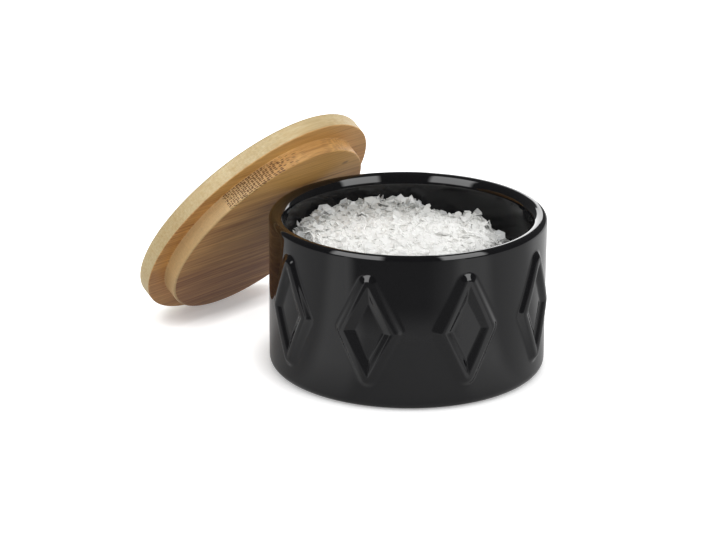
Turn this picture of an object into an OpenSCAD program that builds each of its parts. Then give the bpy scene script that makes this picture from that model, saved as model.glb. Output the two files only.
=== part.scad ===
// Salt pot: a squat glazed stoneware pot with a relief of lozenges, its heap of flaky salt, and a turned
// bamboo lid.
// The lid is off and leans on the rear left of the rim, with its plug towards the pot.
// The origin is the middle of the pot's foot, on the table. +Z is up, and the pot's front looks along -Y.

/* [Pot] */
// Outside diameter of the pot's wall
pot_d = 100; // [90:1:120]
// Height of the pot, from the table to the top of its rim
pot_h = 56.5; // [50:0.5:62]
// Thickness of the pot's wall
wall_t = 5.8; // [4.5:0.1:7]
// Height of the floor inside the pot above the table
floor_h = 6; // [4:0.1:10]
// Rounding of the rim's outer side; the inner side takes the rest of the wall
rim_outer_r = 2; // [0.8:0.1:2.6]
// Rounding of the wall's bottom edge
base_edge_r = 3.2; // [1:0.1:5]
// Hollow rounding between the wall and the floor inside
floor_fillet_r = 6; // [2:0.5:12]
// Width of the ring that the pot stands on
foot_w = 4; // [2:0.5:10]
// Depth of the hollow inside that ring
foot_h = 1.2; // [0.4:0.1:2]
// Hollow rounding at the edge of that hollow
foot_fillet_r = 0.6; // [0.2:0.1:1]

/* [Relief] */
// How far the lozenges stand out from the wall
relief_rise = 1.6; // [0.6:0.1:2.5]
// Width of a lozenge
lozenge_w = 25.4; // [20:0.2:28]
// Width of a lozenge's stroke
stroke_w = 6.4; // [4:0.1:7]
// Rounding of a lozenge's outer corners
lozenge_outer_r = 3.5; // [1:0.1:5]
// Rounding of the corners of the opening in a lozenge
lozenge_inner_r = 1; // [0.4:0.1:2]
// Plain wall left above and below a lozenge
relief_margin = 4.3; // [2:0.1:8]
// Number of lozenges side by side
lozenge_count = 4; // [1:1:8]
// Turn from one lozenge to the next
lozenge_turn = 40; // [36:1:45]
// Turn of the whole row from the front towards the right
row_turn = 3.5; // [-20:0.5:20]

/* [Lid] */
// How far the lid's cap reaches past the pot's wall
cap_overhang = 0.4; // [0:0.1:3]
// Thickness of the lid's cap
cap_t = 6.5; // [4:0.1:10]
// Rounding of the cap's upper edge
cap_upper_r = 1.4; // [0.4:0.1:2.5]
// Rounding of the cap's lower edge
cap_lower_r = 0.4; // [0.2:0.1:1.5]
// Depth of the plug under the cap
plug_h = 6.2; // [4:0.1:9]
// Rounding of the plug's end
plug_edge_r = 0.6; // [0.2:0.1:1.5]
// Clearance all round between the plug and the pot's mouth
plug_gap = 0.8; // [0.5:0.1:2.5]

/* [Lean] */
// Angle between the leaning lid and the table
lean_tilt = 53.2; // [48:0.2:60]
// Direction in which the lid leans, turned from the left side towards the back
lean_turn = 41.4; // [0:0.2:90]
// How far the lid sits to one side of the line in which it leans
lean_offset = -4.8; // [-8:0.2:8]
// Clearance between the lid and the rim it leans on
rim_gap = 0.2; // [0.1:0.05:0.5]
// Clearance between the lid and the table
table_gap = 0.05; // [0.05:0.05:0.5]

/* [Salt] */
// Clearance between the salt and the pot
salt_gap = 0.3; // [0.1:0.1:0.5]
// Clearance between the salt and the plug of a closed lid
salt_headroom = 0.4; // [0.2:0.1:4]
// How far the heap's top is left of the pot's axis
heap_left = 4.5; // [0:0.5:10]
// How far the heap's top is behind the pot's axis
heap_back = 8; // [0:0.5:10]
// Radius of the heap's flat top
heap_flat_r = 32; // [20:0.5:36]
// Width of the slope round that top
heap_slope_w = 9; // [6:0.5:16]
// How far the heap falls over that slope
heap_fall = 10; // [2:0.5:14]
// Place of the hollow that fingers left, right of the pot's axis
scoop_right = 22; // [-30:1:30]
// Place of that hollow, behind the pot's axis
scoop_back = 44; // [-45:1:45]
// Radius of that hollow
scoop_r = 22; // [10:1:30]
// Width of the slope round that hollow
scoop_slope_w = 9; // [6:0.5:16]
// Depth of that hollow
scoop_depth = 6; // [2:0.5:14]
// Height of the crumbs that make the heap's surface uneven
crumb_h = 1.8; // [0.4:0.1:2.5]
// Number of large flakes on the heap
flake_count = 200; // [40:10:220]
// Width of the smallest of them
flake_min_w = 4; // [2:0.5:5]
// Width of the largest of them
flake_max_w = 9; // [6:0.5:12]
// Thickness of a flake
flake_t = 0.5; // [0.3:0.1:1]
// How far the raised edge of a flake stands up from the heap
flake_rise = 2.8; // [0.5:0.1:3.5]

/* [Hidden] */
$fn = 128;
overrun = 1;
full_turn = 360;
half_turn = 180;
quarter_turn = 90;
eighth_turn = 45;

pot_r = pot_d / 2;
mouth_r = pot_r - wall_t;
rim_inner_r = wall_t - rim_outer_r;
foot_outer_r = pot_r - base_edge_r;
foot_inner_r = foot_outer_r - foot_w;

// The upright part of the wall, and the lozenges that stand in the middle of it
wall_low_z = base_edge_r;
wall_high_z = pot_h - rim_outer_r;
relief_z = (wall_low_z + wall_high_z) / 2;
relief_root = wall_t / 2;
lozenge_h = wall_high_z - wall_low_z - 2 * relief_margin;
lozenge_slope = atan2(lozenge_w / 2 - lozenge_outer_r, lozenge_h / 2 - lozenge_outer_r);
lozenge_reach = (lozenge_w / 2 - lozenge_outer_r) * cos(lozenge_slope) + lozenge_outer_r;
arc_steps = 6;

cap_r = pot_r + cap_overhang;
plug_r = mouth_r - plug_gap;

// The leaning lid: the height of its middle keeps its low edge on the table, and the distance
// of its middle from the pot's axis keeps its plug's face against the round of the rim.
lean_z = table_gap + cap_lower_r + (cap_r - cap_lower_r) * sin(lean_tilt) - cap_lower_r * cos(lean_tilt);
rim_round_z = pot_h - rim_outer_r;
rim_round_r = pot_r - rim_outer_r;
plug_to_round = plug_h + rim_outer_r + rim_gap;
lean_reach = rim_round_r + (plug_to_round + (rim_round_z - lean_z) * cos(lean_tilt)) / sin(lean_tilt);
lean_x = -lean_reach * cos(lean_turn) + lean_offset * sin(lean_turn);
lean_y = lean_reach * sin(lean_turn) + lean_offset * cos(lean_turn);

// The heap of salt: a square grid of points pulled out to a round one, so that its cells are all alike
grid_steps = 14;
grid_row = 2 * grid_steps + 1;
edge_points = 8 * grid_steps;
fillet_steps = 2;
salt_r = mouth_r - salt_gap;
salt_bottom = floor_h + salt_gap;
salt_fillet_r = floor_fillet_r - salt_gap;
flake_sink = (crumb_h + flake_t) / 2;
heap_top = pot_h - plug_h - salt_headroom - max(crumb_h / 2, flake_rise + flake_t - flake_sink);
crumb_seed = 7;
crumbs = rands(-crumb_h / 2, crumb_h / 2, grid_row * grid_row, crumb_seed);

// The large flakes: sunflower places, and chances that step through 0 to 1 without repeating
golden_turn = 137.508;
size_step_share = 0.618;
shape_step_share = 0.755;
heading_step_share = 0.414;
rise_step_share = 0.57;
flake_narrow_share = 0.5;
flake_low_share = 0.4;
flake_twin_share = 0.65;
flake_top_share = 0.85;
flake_corners = 5;
twin_corners = 4;
flake_reach = salt_r - flake_max_w / 2 - flake_t;

// Ease from 0 to 1 as a share goes from 0 to 1, level at both ends
function ease_share(share) = let (s = min(1, max(0, share))) s * s * (3 - 2 * s);

// Points along an arc about a middle, anticlockwise from one direction to another
function arc_points(middle, r, from, to) = [
    for (k = [0 : arc_steps])
        let (a = from + (to - from) * k / arc_steps)
        middle + r * [cos(a), sin(a)]
];

// Height of the heap without its crumbs, at a place on the pot's plan
function heap_z(x, y) =
    let (away = norm([x + heap_left, y - heap_back]))
    let (from_scoop = norm([x - scoop_right, y - scoop_back]))
    let (slope = heap_fall * ease_share((away - heap_flat_r) / heap_slope_w))
    let (scoop = scoop_depth * ease_share((scoop_r - from_scoop) / scoop_slope_w))
    heap_top - max(slope, scoop);

// One of a row of chances from 0 to 1, stepping by a share and starting again past 1
function chance_share(count, step_share) = count * step_share - floor(count * step_share);

// Direction of a grid place seen from the middle, when the grid's square rings become round ones
function grid_turn(i, j) =
    abs(i) >= abs(j)
        ? (i > 0 ? 0 : half_turn) + eighth_turn * j / i
        : (j > 0 ? quarter_turn : -quarter_turn) - eighth_turn * i / j;

// A grid place's point on the heap's surface, with its crumb
function heap_point(i, j) =
    let (ring = max(abs(i), abs(j)))
    let (r = salt_r * ring / grid_steps)
    let (a = ring == 0 ? 0 : grid_turn(i, j))
    let (x = r * cos(a))
    let (y = r * sin(a))
    [x, y, heap_z(x, y) + crumbs[grid_index([i, j])]];

// A grid place's number in the list of points
function grid_index(place) = (place[0] + grid_steps) * grid_row + place[1] + grid_steps;

// The grid places along the edge, counted anticlockwise from the front right corner
function edge_place(count) =
    let (side = floor(count / (2 * grid_steps)))
    let (along = count % (2 * grid_steps) - grid_steps)
    side == 0 ? [grid_steps, along]
        : side == 1 ? [-along, grid_steps]
        : side == 2 ? [-grid_steps, -along]
        : [along, -grid_steps];

// One point of the heap's underside: step 0 is on the floor, and the last step ends the hollow rounding
function under_point(step, count) =
    let (a = full_turn * count / edge_points - eighth_turn)
    let (turn = quarter_turn * step / fillet_steps)
    let (r = salt_r - salt_fillet_r + salt_fillet_r * sin(turn))
    [r * cos(a), r * sin(a), salt_bottom + salt_fillet_r * (1 - cos(turn))];

// The triangles between two loops of points, one above the other
function band(low, high) = [
    for (k = [0 : len(low) - 1])
        let (next = (k + 1) % len(low))
        for (half = [0, 1])
            half == 0 ? [low[k], high[k], low[next]] : [low[next], high[k], high[next]]
];

// The two triangles of a grid cell, split along the diagonal that points away from the middle
function cell(i, j) =
    let (a = grid_index([i, j]))
    let (b = grid_index([i + 1, j]))
    let (c = grid_index([i + 1, j + 1]))
    let (d = grid_index([i, j + 1]))
    (2 * i + 1) * (2 * j + 1) > 0 ? [[a, d, c], [a, c, b]] : [[a, d, b], [b, d, c]];

// What a rounding takes off an outward corner, from the middle of its arc up and to the right
module corner_waste(r) {
    difference() {
        square(r + overrun);
        circle(r);
    }
}

// Half of the pot's section, right of the axis
module pot_section() {
    difference() {
        square([pot_r, pot_h]);
        // the hollow for the salt, with its round corner
        translate([0, floor_h])
            square([mouth_r - floor_fillet_r, pot_h]);
        translate([0, floor_h + floor_fillet_r])
            square([mouth_r, pot_h]);
        translate([mouth_r - floor_fillet_r, floor_h + floor_fillet_r])
            circle(floor_fillet_r);
        // the round rim
        translate([pot_r - rim_outer_r, pot_h - rim_outer_r])
            corner_waste(rim_outer_r);
        translate([mouth_r + rim_inner_r, pot_h - rim_inner_r])
            mirror([1, 0])
                corner_waste(rim_inner_r);
        // the bottom edge and the hollow inside the foot
        translate([pot_r - base_edge_r, base_edge_r])
            mirror([0, 1])
                corner_waste(base_edge_r);
        translate([0, -overrun])
            square([foot_inner_r - foot_fillet_r, foot_h + overrun]);
        translate([0, -overrun])
            square([foot_inner_r, foot_h - foot_fillet_r + overrun]);
        translate([foot_inner_r - foot_fillet_r, foot_h - foot_fillet_r])
            circle(foot_fillet_r);
    }
}

// A lozenge whose sides lie at a given reach from its middle, with rounded corners
module lozenge(reach, corner_r) {
    side_x = (reach - corner_r) / cos(lozenge_slope);
    tip_y = (reach - corner_r) / sin(lozenge_slope);
    polygon(concat(
        arc_points([side_x, 0], corner_r, -lozenge_slope, lozenge_slope),
        arc_points([0, tip_y], corner_r, lozenge_slope, half_turn - lozenge_slope),
        arc_points([-side_x, 0], corner_r, half_turn - lozenge_slope, half_turn + lozenge_slope),
        arc_points([0, -tip_y], corner_r, half_turn + lozenge_slope, full_turn - lozenge_slope)
    ));
}

// The open lozenges of the relief, cut from a round band of clay on the wall
module relief() {
    intersection() {
        difference() {
            translate([0, 0, wall_low_z])
                cylinder(r = pot_r + relief_rise, h = wall_high_z - wall_low_z);
            cylinder(r = pot_r - relief_root, h = pot_h);
        }
        for (k = [0 : lozenge_count - 1])
            rotate(row_turn + lozenge_turn * (k - (lozenge_count - 1) / 2))
                translate([0, 0, relief_z])
                    rotate([quarter_turn, 0, 0])
                        linear_extrude(pot_r + relief_rise + overrun)
                            difference() {
                                lozenge(lozenge_reach, lozenge_outer_r);
                                lozenge(lozenge_reach - stroke_w, lozenge_inner_r);
                            }
    }
}

// The pot, pressed in one piece with its relief
module pot() {
    color("#1d1d1f") {
        rotate_extrude()
            pot_section();
        relief();
    }
}

// Half of the lid's section: the cap's underside is at height 0, and the plug hangs below it
module lid_section() {
    difference() {
        square([cap_r, cap_t]);
        translate([cap_r - cap_upper_r, cap_t - cap_upper_r])
            corner_waste(cap_upper_r);
        translate([cap_r - cap_lower_r, cap_lower_r])
            mirror([0, 1])
                corner_waste(cap_lower_r);
    }
    difference() {
        translate([0, -plug_h])
            square([plug_r, plug_h]);
        translate([plug_r - plug_edge_r, -plug_h + plug_edge_r])
            mirror([0, 1])
                corner_waste(plug_edge_r);
    }
}

// The lid, turned in one piece, leaning on the rim with its plug towards the pot
module lid() {
    color("#c79a62")
        translate([lean_x, lean_y, lean_z])
            rotate([0, -lean_tilt, -lean_turn])
                rotate_extrude()
                    lid_section();
}

// The heap of salt without its large flakes, one closed surface
module heap() {
    span = [-grid_steps : grid_steps];
    cells = [-grid_steps : grid_steps - 1];
    counts = [0 : edge_points - 1];
    points = concat(
        [for (i = span) for (j = span) heap_point(i, j)],
        [for (step = [0 : fillet_steps]) for (count = counts) under_point(step, count)],
        [[0, 0, salt_bottom]]
    );
    under_start = grid_row * grid_row;
    under_loops = [
        for (step = [0 : fillet_steps]) [for (count = counts) under_start + step * edge_points + count]
    ];
    top_loop = [for (count = counts) grid_index(edge_place(count))];
    floor_middle = len(points) - 1;
    faces = concat(
        [for (i = cells) for (j = cells) each cell(i, j)],
        band(under_loops[fillet_steps], top_loop),
        [for (step = [1 : fillet_steps]) each band(under_loops[step - 1], under_loops[step])],
        [for (count = counts) [floor_middle, under_loops[0][count], under_loops[0][(count + 1) % edge_points]]]
    );
    polyhedron(points, faces);
}

// One flake of salt: two crystals grown together, each flat below and a little smaller on top
module flake(w, narrow_share) {
    twin_w = w * flake_twin_share;
    hull() {
        scale([1, narrow_share, 1])
            cylinder(d1 = w, d2 = w * flake_top_share, h = flake_t, $fn = flake_corners);
        translate([-(w - twin_w) / 2, 0, 0])
            cylinder(d1 = twin_w, d2 = twin_w * flake_top_share, h = flake_t, $fn = twin_corners);
    }
}

// The large flakes, each sunk in the heap with one edge raised
module flakes() {
    for (count = [0 : flake_count - 1]) {
        r = flake_reach * sqrt((count + 1) / flake_count);
        x = r * cos(golden_turn * count);
        y = r * sin(golden_turn * count);
        size_share = chance_share(count, size_step_share);
        w = flake_min_w + (flake_max_w - flake_min_w) * size_share * size_share;
        narrow_share = flake_narrow_share + (1 - flake_narrow_share) * chance_share(count, shape_step_share);
        rise_share = flake_low_share + (1 - flake_low_share) * chance_share(count, rise_step_share);
        lean = asin(min(1, flake_rise * rise_share / (w / 2)));
        translate([x, y, heap_z(x, y) - flake_sink])
            rotate([0, -lean, full_turn * chance_share(count, heading_step_share)])
                flake(w, narrow_share);
    }
}

// The salt: a heap of fine flakes with large ones on it
module salt() {
    color("#ecece8") {
        heap();
        flakes();
    }
}

pot();
lid();
salt();
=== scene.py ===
# %% [markdown]
# # A salt pot with a loose bamboo lid
# The object is a squat stoneware pot in glossy black glaze, full of flaky salt, with a turned bamboo lid that
# leans open against its rim. Its construction is fixed: three CAD solids give every size and place.
# This lesson dresses them. It turns finer outlines for the pot and the lid, presses a soft relief into the
# pot's wall, heaps up the salt, and writes a material for each. Sizes are in metres, as Blender's are, and
# MM lets the small ones be written in millimetres.

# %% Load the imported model
import math

import bmesh
import bpy
import numpy as np
from mathutils import Euler, Matrix, Vector


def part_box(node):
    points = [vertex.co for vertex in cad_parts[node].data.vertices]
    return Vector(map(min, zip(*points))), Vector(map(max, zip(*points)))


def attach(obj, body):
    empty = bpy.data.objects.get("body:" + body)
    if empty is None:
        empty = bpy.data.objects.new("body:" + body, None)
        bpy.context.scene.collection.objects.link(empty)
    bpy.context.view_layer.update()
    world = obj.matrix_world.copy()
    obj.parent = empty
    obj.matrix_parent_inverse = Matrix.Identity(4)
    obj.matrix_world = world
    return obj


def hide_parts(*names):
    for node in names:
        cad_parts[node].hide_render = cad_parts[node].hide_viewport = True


MM = 0.001
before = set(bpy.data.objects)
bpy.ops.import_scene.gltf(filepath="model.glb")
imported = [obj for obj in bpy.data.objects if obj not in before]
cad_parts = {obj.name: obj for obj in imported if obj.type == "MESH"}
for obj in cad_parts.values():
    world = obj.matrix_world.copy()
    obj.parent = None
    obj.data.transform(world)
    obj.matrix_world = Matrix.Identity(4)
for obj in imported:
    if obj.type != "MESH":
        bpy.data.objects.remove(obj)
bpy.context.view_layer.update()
for node_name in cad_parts:
    low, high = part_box(node_name)
    print(f"{node_name}: {[round(size / MM, 1) for size in high - low]} mm")

# %% [markdown]
# ## The camera
# The picture was taken with a long lens from a little above the rim, with the camera rolled by a hair. The
# camera is placed by what the picture says: the pixel where the middle of the foot lies, how many pixels one
# metre covers there, and how far the camera looks down. The lens and the place then follow.

# %% Place the camera
IMAGE_W = 716
IMAGE_H = 540
FOOT_PIXEL = (406.49, 358.91)
PIXELS_PER_METRE = 2734.4
CAMERA_DISTANCE = 1.0
LOOK_DOWN = math.radians(19.54)
ROLL = math.radians(-0.22)
SENSOR_W = 36.0

forward = Vector((0, math.cos(LOOK_DOWN), -math.sin(LOOK_DOWN)))
level = Vector((1, 0, 0))
down = Vector((0, -math.sin(LOOK_DOWN), -math.cos(LOOK_DOWN)))
image_right = math.cos(ROLL) * level + math.sin(ROLL) * down
image_down = math.cos(ROLL) * down - math.sin(ROLL) * level
foot_right = (FOOT_PIXEL[0] - IMAGE_W / 2) / PIXELS_PER_METRE
foot_down = (FOOT_PIXEL[1] - IMAGE_H / 2) / PIXELS_PER_METRE

camera = bpy.data.objects.new("camera", bpy.data.cameras.new("camera"))
bpy.context.scene.collection.objects.link(camera)
camera.data.sensor_fit = "HORIZONTAL"
camera.data.sensor_width = SENSOR_W
camera.data.lens = PIXELS_PER_METRE * CAMERA_DISTANCE * SENSOR_W / IMAGE_W
turn = Matrix((image_right, -image_down, -forward)).transposed().to_4x4()
place = -CAMERA_DISTANCE * forward - foot_right * image_right - foot_down * image_down
camera.matrix_world = Matrix.Translation(place) @ turn
bpy.context.scene.camera = camera
print(f"camera: lens {camera.data.lens:.1f} mm, {place.length:.3f} m from the foot")

# %% [markdown]
# ## Helpers for every tree
# Shader trees and geometry trees are both made of nodes. A tree could be drawn by hand in an editor, but in a
# script it can be read line by line, so one small function adds a node, sets its properties and fills its
# inputs. Colours are written as the hex values that a painter picks on screen, and another function turns
# them into the linear values that Blender computes with.

# %% Helpers for colours and nodes
NODE_SPACING = 190
MATH = "ShaderNodeMath"
VECTOR_MATH = "ShaderNodeVectorMath"
MAP_RANGE = "ShaderNodeMapRange"
MIX = "ShaderNodeMix"
NOISE = "ShaderNodeTexNoise"
RANDOM = "FunctionNodeRandomValue"

# mix and random nodes have a pair of sockets for each kind of value, all of one name, so they go by number
VALUE_A, VALUE_B = 2, 3
VECTOR_A, VECTOR_B = 4, 5
COLOUR_A, COLOUR_B = 6, 7
VECTOR_OUT, COLOUR_OUT = 1, 2
RANDOM_VALUE_OUT = 1


def colour(hex_code):
    """The linear RGBA values of an sRGB hex colour."""
    channels = [int(hex_code[start:start + 2], 16) / 255 for start in (1, 3, 5)]
    linear = [c / 12.92 if c <= 0.04045 else ((c + 0.055) / 1.055) ** 2.4 for c in channels]
    return (*linear, 1.0)


def add_node(tree, kind, *values, inputs=None, **settings):
    """Add a node. Values fill its inputs in order, inputs by name or number; a node stands for its output 0."""
    node = tree.nodes.new(kind)
    node.location.x = NODE_SPACING * len(tree.nodes)
    for name, value in settings.items():
        setattr(node, name, value)
    for key, value in [*enumerate(values), *(inputs or {}).items()]:
        source = value.outputs[0] if isinstance(value, bpy.types.Node) else value
        if isinstance(source, bpy.types.NodeSocket):
            tree.links.new(source, node.inputs[key])
        else:
            node.inputs[key].default_value = source
    return node


def start_material(name):
    """A new material, and its tree with no node in it yet."""
    material = bpy.data.materials.new(name)
    material.use_nodes = True
    material.node_tree.nodes.clear()
    return material, material.node_tree


print("helpers: colour, add_node, start_material")

# %% [markdown]
# ## The black glaze
# Stoneware glazed in gloss black is dark glass over dark clay: the colour hardly shows, and nearly all that
# the eye gets is what the glass reflects. Glass has an IOR near 1.5, so four hundredths of the light comes
# back face on and much more at the edges. A fired glaze is never quite level, so a broad, shallow bump bends
# the reflections a little, and a finer one stands for the pinholes and dust of the kiln. Inside, below the
# rim, salt dust and fingers dull the glaze, so its roughness rises there.

# %% Black glaze
POT_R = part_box("pot")[1].y
POT_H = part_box("pot")[1].z
WALL_T = 5.8 * MM
MOUTH_R = POT_R - WALL_T
GLAZE_TINTS = ("#0c0c0e", "#131315")
GLAZE_IOR = 1.5
GLAZE_ROUGH = (0.03, 0.07)
GLAZE_WAVE = 14 * MM
WAVE_DEPTH = 0.3 * MM
WAVE_SHARE = 0.25
GLAZE_PEEL = 1.6 * MM
PEEL_DEPTH = 0.05 * MM
PEEL_SHARE = 0.06
DULL_R = MOUTH_R + 0.5 * MM
DULL_FROM = POT_H - 4 * MM
DULL_TO = POT_H - 7 * MM
DULL_ROUGH = 0.2


def make_glaze():
    """Gloss black glaze on stoneware, fired: dark glass with a slightly uneven surface."""
    material, tree = start_material("gloss black stoneware glaze")
    place = add_node(tree, "ShaderNodeTexCoord").outputs["Object"]
    tint = add_node(tree, NOISE, inputs={"Vector": place, "Scale": 1 / GLAZE_WAVE, "Detail": 3.0})
    shade = add_node(tree, MIX, data_type="RGBA", inputs={
        "Factor": tint.outputs["Fac"], COLOUR_A: colour(GLAZE_TINTS[0]), COLOUR_B: colour(GLAZE_TINTS[1])})
    wave = add_node(tree, NOISE, inputs={"Vector": place, "Scale": 1 / GLAZE_WAVE, "Detail": 1.0})
    peel = add_node(tree, NOISE, inputs={"Vector": place, "Scale": 1 / GLAZE_PEEL, "Detail": 2.0})
    broad = add_node(tree, "ShaderNodeBump", inputs={
        "Height": wave.outputs["Fac"], "Strength": WAVE_SHARE, "Distance": WAVE_DEPTH})
    fine = add_node(tree, "ShaderNodeBump", inputs={
        "Height": peel.outputs["Fac"], "Strength": PEEL_SHARE, "Distance": PEEL_DEPTH, "Normal": broad})
    rough = add_node(tree, MAP_RANGE, inputs={
        "Value": peel.outputs["Fac"], "To Min": GLAZE_ROUGH[0], "To Max": GLAZE_ROUGH[1]})

    # inside and below the rim, salt has dulled it
    flat = add_node(tree, VECTOR_MATH, place, (1.0, 1.0, 0.0), operation="MULTIPLY")
    from_axis = add_node(tree, VECTOR_MATH, flat, operation="LENGTH").outputs["Value"]
    inside = add_node(tree, MATH, from_axis, DULL_R, operation="LESS_THAN")
    height = add_node(tree, "ShaderNodeSeparateXYZ", place).outputs["Z"]
    dull = add_node(tree, MAP_RANGE, inputs={
        "Value": height, "From Min": DULL_FROM, "From Max": DULL_TO, "To Max": DULL_ROUGH})
    rough = add_node(tree, MATH, inside, dull, rough, operation="MULTIPLY_ADD")
    glass = add_node(tree, "ShaderNodeBsdfPrincipled", inputs={
        "Base Color": shade.outputs[COLOUR_OUT], "Roughness": rough, "IOR": GLAZE_IOR, "Normal": fine})
    add_node(tree, "ShaderNodeOutputMaterial", glass)
    return material


glaze = make_glaze()
print("material:", glaze.name)

# %% [markdown]
# ## The bare clay of the foot
# A pot stands on its foot in the kiln, so the glaze is wiped off there, or it would weld the pot to the
# shelf. What shows is the fired body: a warm grey, dull and a little sandy.

# %% Bare stoneware
CLAY_TINTS = ("#7c7266", "#b3a897")
CLAY_ROUGH = 0.9
CLAY_GRAIN = 0.5 * MM
CLAY_GRAIN_DEPTH = 0.1 * MM
CLAY_GRAIN_SHARE = 0.4
CLAY_SPECKS = (0.3, 0.6)


def make_clay():
    """Unglazed stoneware, wiped with a sponge: matte, warm grey, with fine dark specks of iron."""
    material, tree = start_material("bare fired stoneware")
    place = add_node(tree, "ShaderNodeTexCoord").outputs["Object"]
    grain = add_node(tree, NOISE, inputs={"Vector": place, "Scale": 1 / CLAY_GRAIN, "Detail": 4.0})
    specks = add_node(tree, MAP_RANGE, inputs={
        "Value": grain.outputs["Fac"], "From Min": CLAY_SPECKS[0], "From Max": CLAY_SPECKS[1]})
    shade = add_node(tree, MIX, data_type="RGBA", inputs={
        "Factor": specks, COLOUR_A: colour(CLAY_TINTS[0]), COLOUR_B: colour(CLAY_TINTS[1])})
    bump = add_node(tree, "ShaderNodeBump", inputs={
        "Height": grain.outputs["Fac"], "Strength": CLAY_GRAIN_SHARE, "Distance": CLAY_GRAIN_DEPTH})
    body = add_node(tree, "ShaderNodeBsdfPrincipled", inputs={
        "Base Color": shade.outputs[COLOUR_OUT], "Roughness": CLAY_ROUGH, "Normal": bump})
    add_node(tree, "ShaderNodeOutputMaterial", body)
    return material


clay = make_clay()
print("material:", clay.name)

# %% [markdown]
# ## Turning an outline
# The pot and the lid are both round, so each starts as half of a section, drawn from the axis outwards and
# back to the axis. Every real edge has a small rounding, which catches the light, so the outline is made of
# straight stretches and arcs. Going round it with the solid on the left makes every face point outwards.

# %% Outlines and the lathe
ROUND_OFF = 1e-6


def arc(middle, radius, start, end, steps=8):
    """Points of a round stretch of an outline about its middle, between two angles in degrees."""
    angles = np.radians(np.linspace(start, end, steps + 1))
    return [(middle[0] + radius * math.cos(a), middle[1] + radius * math.sin(a)) for a in angles]


def outline_through(stretches, spacing):
    """Join lists of points into one outline, with extra points where a stretch is longer than spacing."""
    corners = [point for stretch in stretches for point in stretch]
    points = [np.array(corners[0])]
    for corner in corners[1:]:
        gap = np.array(corner) - points[-1]
        steps = math.ceil(np.linalg.norm(gap) / spacing - ROUND_OFF)
        start = points[-1]
        points += [start + gap * step / steps for step in range(1, steps + 1)]
    return points


def turn_on_lathe(name, outline, angles):
    """A closed mesh from an outline of (radius, height) points whose two ends lie on the axis."""
    inner = outline[1:-1]
    count = len(angles)
    vertices = [(r * math.sin(a), -r * math.cos(a), z) for r, z in inner for a in angles]
    first_pole = len(vertices)
    vertices += [(0, 0, outline[0][1]), (0, 0, outline[-1][1])]
    faces = []
    for row in range(len(inner) - 1):
        for column in range(count):
            here = row * count + column
            beside = row * count + (column + 1) % count
            faces.append((here, beside, beside + count, here + count))
    last_row = (len(inner) - 1) * count
    for column in range(count):
        beside = (column + 1) % count
        faces.append((first_pole, beside, column))
        faces.append((first_pole + 1, last_row + column, last_row + beside))
    mesh = bpy.data.meshes.new(name)
    mesh.from_pydata(vertices, [], faces)
    mesh.shade_smooth()
    piece = bpy.data.objects.new(name, mesh)
    bpy.context.scene.collection.objects.link(piece)
    return piece


print("helpers: arc, outline_through, turn_on_lathe")

# %% [markdown]
# ## The pot
# The CAD solid gives the pot's height and radius. The back of its wall is plain, so the largest y of its box
# is the radius of the wall. The columns of the lathe are close together over the ornamented front, where the
# relief needs them, and wider apart behind.

# %% Turn the pot
FLOOR_H = 6 * MM
RIM_OUTER_R = 2 * MM
RIM_INNER_R = WALL_T - RIM_OUTER_R
BASE_EDGE_R = 3.2 * MM
FLOOR_FILLET_R = 6 * MM
FOOT_W = 4 * MM
FOOT_H = 1.2 * MM
FOOT_FILLET_R = 0.6 * MM
FOOT_EDGE_R = 0.3 * MM
FINE_SPACING = 0.45 * MM
PLAIN_SPACING = 3 * MM
STRAIGHT_WITHIN = 1e-7
COARSE_TURN = math.radians(1.6)
LOZENGE_COUNT = 4
LOZENGE_TURN = math.radians(40)
ROW_TURN = math.radians(3.5)


def pot_outline():
    """Half of the pot's section: under the foot, up the wall, over the rim and down inside."""
    foot_in = POT_R - BASE_EDGE_R - FOOT_W
    return [
        [(0, FOOT_H)],
        arc((foot_in - FOOT_FILLET_R, FOOT_H - FOOT_FILLET_R), FOOT_FILLET_R, 90, 0, 4),
        arc((foot_in + FOOT_EDGE_R, FOOT_EDGE_R), FOOT_EDGE_R, 180, 270, 4),
        arc((POT_R - BASE_EDGE_R, BASE_EDGE_R), BASE_EDGE_R, -90, 0, 10),
        arc((POT_R - RIM_OUTER_R, POT_H - RIM_OUTER_R), RIM_OUTER_R, 0, 90, 10),
        arc((MOUTH_R + RIM_INNER_R, POT_H - RIM_INNER_R), RIM_INNER_R, 90, 180, 14),
        arc((MOUTH_R - FLOOR_FILLET_R, FLOOR_H + FLOOR_FILLET_R), FLOOR_FILLET_R, 0, -90, 8),
        [(0, FLOOR_H)],
    ]


def column_angles():
    """Angles of the lathe's columns from the front: fine over the row of lozenges, coarse behind."""
    half_row = LOZENGE_TURN * LOZENGE_COUNT / 2
    fine_steps = round(2 * half_row * POT_R / FINE_SPACING)
    coarse_steps = round((2 * math.pi - 2 * half_row) / COARSE_TURN)
    fine = np.linspace(ROW_TURN - half_row, ROW_TURN + half_row, fine_steps, endpoint=False)
    coarse = np.linspace(ROW_TURN + half_row, ROW_TURN - half_row + 2 * math.pi, coarse_steps, endpoint=False)
    return [*fine, *coarse]


def thin_inside(points):
    """Leave out most of the points on the straight stretches that carry no relief."""
    wanted = []
    for index, (r, z) in enumerate(points):
        on_wall = r > POT_R - FINE_SPACING and BASE_EDGE_R < z < POT_H - RIM_OUTER_R
        near_wanted = wanted and math.dist(wanted[-1], (r, z)) < PLAIN_SPACING
        straight = 0 < index < len(points) - 1 and np.allclose(
            np.array(points[index]) * 2, np.array(points[index - 1]) + points[index + 1],
            atol=STRAIGHT_WITHIN)
        if on_wall or not (straight and near_wanted):
            wanted.append((r, z))
    return wanted


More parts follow.
